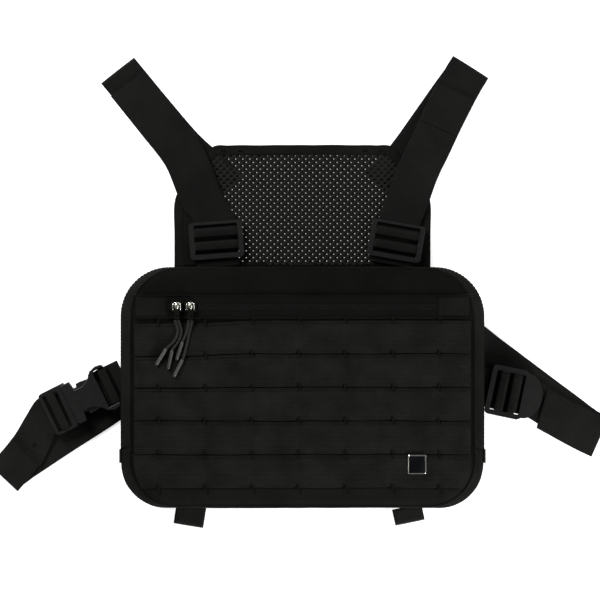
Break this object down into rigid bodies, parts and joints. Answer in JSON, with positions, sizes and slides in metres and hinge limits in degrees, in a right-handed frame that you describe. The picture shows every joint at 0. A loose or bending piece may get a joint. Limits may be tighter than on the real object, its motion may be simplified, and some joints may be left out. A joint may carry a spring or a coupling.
{
  "type": "chest bag",
  "caption": "Tactical chest bag: zipped pouch with a ladder webbing front, mesh bib, two shoulder straps with ladder locks and a waist belt with a side-release buckle.",
  "frame": {"origin": "middle of the back pad's outer face, which rests on z = 0", "axes": "+Z out of the bag's front, +Y towards the shoulder straps, +X to the viewer's right"},
  "size_m": [0.5178, 0.394, 0.0716],
  "materials": {
    "fabric": "black woven polyester, matt",
    "pad_fabric": "black spacer mesh over foam",
    "mesh": "black open air mesh",
    "webbing": "black ribbed webbing with a slight sheen",
    "zip": "black zip tape with a nylon coil",
    "buckle_plastic": "black acetal, satin",
    "cord": "black braided cord",
    "cord_cap": "black heat-shrink cap",
    "slider_metal": "nickel-plated zinc",
    "badge": "polished rim with a dark plain field"
  },
  "bodies": {
    "bag": {"back_pad": "pad_fabric", "back_wall": "fabric", "rear_gusset": "fabric", "rear_zip": "zip", "lower_gusset": "fabric", "front_panel_lower": "fabric", "ladder_row_5": "webbing", "badge": "badge", "buckle_female": "buckle_plastic", "buckle_anchor": "webbing", "belt_back": "webbing"},
    "lid": {"front_panel_upper": "fabric", "lid_gusset": "fabric", "lid_zip": "zip", "pocket_lining": "fabric", "ladder_row_1": "webbing", "ladder_row_2": "webbing", "ladder_row_3": "webbing", "ladder_row_4": "webbing", "pocket_zip": "zip"},
    "bib": {"bib_mesh": "mesh", "bib_binding": "fabric", "shoulder_strap_left": "webbing", "shoulder_strap_right": "webbing", "shoulder_tail_left": "webbing", "shoulder_tail_right": "webbing"},
    "lock_left": {"shoulder_lock_left": "buckle_plastic", "shoulder_lock_left_anchor": "webbing", "shoulder_lock_left_wrap": "webbing"},
    "lock_right": {"shoulder_lock_right": "buckle_plastic", "shoulder_lock_right_anchor": "webbing", "shoulder_lock_right_wrap": "webbing"},
    "tensioner": {"belt_tensioner": "buckle_plastic", "belt_tensioner_anchor": "webbing", "belt_tensioner_wrap": "webbing"},
    "male": {"buckle_male": "buckle_plastic", "belt_left": "webbing"},
    "prong_upper": {"prong_upper": "buckle_plastic"},
    "prong_lower": {"prong_lower": "buckle_plastic"},
    "loop_left": {"bottom_loop_left": "webbing"},
    "loop_right": {"bottom_loop_right": "webbing"},
    "pocket_slider_left": {"pocket_slider_left": "slider_metal", "cord_left_outer": "cord", "cord_left_inner": "cord", "cord_cap_left_outer": "cord_cap", "cord_cap_left_inner": "cord_cap"},
    "pocket_pull_left": {"pocket_pull_left": "slider_metal"},
    "main_slider_left": {"main_slider_left": "slider_metal"},
    "main_pull_left": {"main_pull_left": "slider_metal"},
    "pocket_slider_right": {"pocket_slider_right": "slider_metal", "cord_right_outer": "cord", "cord_right_inner": "cord", "cord_cap_right_outer": "cord_cap", "cord_cap_right_inner": "cord_cap"},
    "pocket_pull_right": {"pocket_pull_right": "slider_metal"},
    "main_slider_right": {"main_slider_right": "slider_metal"},
    "main_pull_right": {"main_pull_right": "slider_metal"}
  },
  "joints": [
    {"name": "lid_open", "type": "hinge", "parent": "bag", "child": "lid", "pos_m": [0, -0.0549, 0.0672], "axis": [1, 0, 0], "range_deg": [0, 100]},
    {"name": "bib_fold", "type": "hinge", "parent": "bag", "child": "bib", "pos_m": [0, 0.1045, 0.0146], "axis": [1, 0, 0], "range_deg": [0, 75]},
    {"name": "pocket_slider_right_slide", "type": "slide", "parent": "lid", "child": "pocket_slider_right", "axis": [1, 0, 0], "range_m": [0, 0.19]},
    {"name": "pocket_slider_left_slide", "type": "slide", "parent": "lid", "child": "pocket_slider_left", "axis": [1, 0, 0], "range_m": [-0.002, 0.0005]},
    {"name": "pocket_pull_left_flip", "type": "hinge", "parent": "pocket_slider_left", "child": "pocket_pull_left", "pos_m": [-0.1024, 0.0631, 0.0703], "axis": [-1, 0, 0], "range_deg": [0, 80]},
    {"name": "pocket_pull_right_flip", "type": "hinge", "parent": "pocket_slider_right", "child": "pocket_pull_right", "pos_m": [-0.0912, 0.0631, 0.0703], "axis": [-1, 0, 0], "range_deg": [0, 80]},
    {"name": "main_slider_left_slide", "type": "slide", "parent": "bag", "child": "main_slider_left", "axis": [-1, 0, 0], "range_m": [0, 0.035]},
    {"name": "main_pull_left_flip", "type": "hinge", "parent": "main_slider_left", "child": "main_pull_left", "pos_m": [-0.0048, 0.1015, 0.0318], "axis": [1, 0, 0], "range_deg": [0, 90]},
    {"name": "main_slider_right_slide", "type": "slide", "parent": "bag", "child": "main_slider_right", "axis": [1, 0, 0], "range_m": [0, 0.035]},
    {"name": "main_pull_right_flip", "type": "hinge", "parent": "main_slider_right", "child": "main_pull_right", "pos_m": [0.0048, 0.1015, 0.0318], "axis": [1, 0, 0], "range_deg": [0, 90]},
    {"name": "shoulder_lock_left_tilt", "type": "hinge", "parent": "bib", "child": "lock_left", "pos_m": [-0.07015, 0.09921, 0.0085], "axis": [0.9972, 0.075, 0], "range_deg": [0, 25]},
    {"name": "shoulder_lock_right_tilt", "type": "hinge", "parent": "bib", "child": "lock_right", "pos_m": [0.07469, 0.10093, 0.0085], "axis": [0.9848, -0.1736, 0], "range_deg": [0, 25]},
    {"name": "belt_tensioner_tilt", "type": "hinge", "parent": "bag", "child": "tensioner", "pos_m": [0.14421, -0.00019, 0.0052], "axis": [-0.2079, -0.9781, 0], "range_deg": [0, 35]},
    {"name": "buckle_release", "type": "slide", "parent": "bag", "child": "male", "axis": [-0.8973, -0.4415, 0], "range_m": [0, 0.032]},
    {"name": "prong_upper_squeeze", "type": "hinge", "parent": "male", "child": "prong_upper", "pos_m": [-0.19834, -0.00793, 0.01], "axis": [0, 0, -1], "range_deg": [0, 5], "stiffness_Nm_per_rad": 0.4},
    {"name": "prong_lower_squeeze", "type": "hinge", "parent": "male", "child": "prong_lower", "pos_m": [-0.18996, -0.02498, 0.01], "axis": [0, 0, 1], "range_deg": [0, 5], "stiffness_Nm_per_rad": 0.4},
    {"name": "bottom_loop_left_flex", "type": "hinge", "parent": "bag", "child": "loop_left", "pos_m": [-0.0926, -0.10035, 0.0129], "axis": [-0.9877, 0.1564, 0], "range_deg": [0, 80]},
    {"name": "bottom_loop_right_flex", "type": "hinge", "parent": "bag", "child": "loop_right", "pos_m": [0.0868, -0.101, 0.0129], "axis": [-0.9781, -0.2079, 0], "range_deg": [0, 80]}
  ]
}
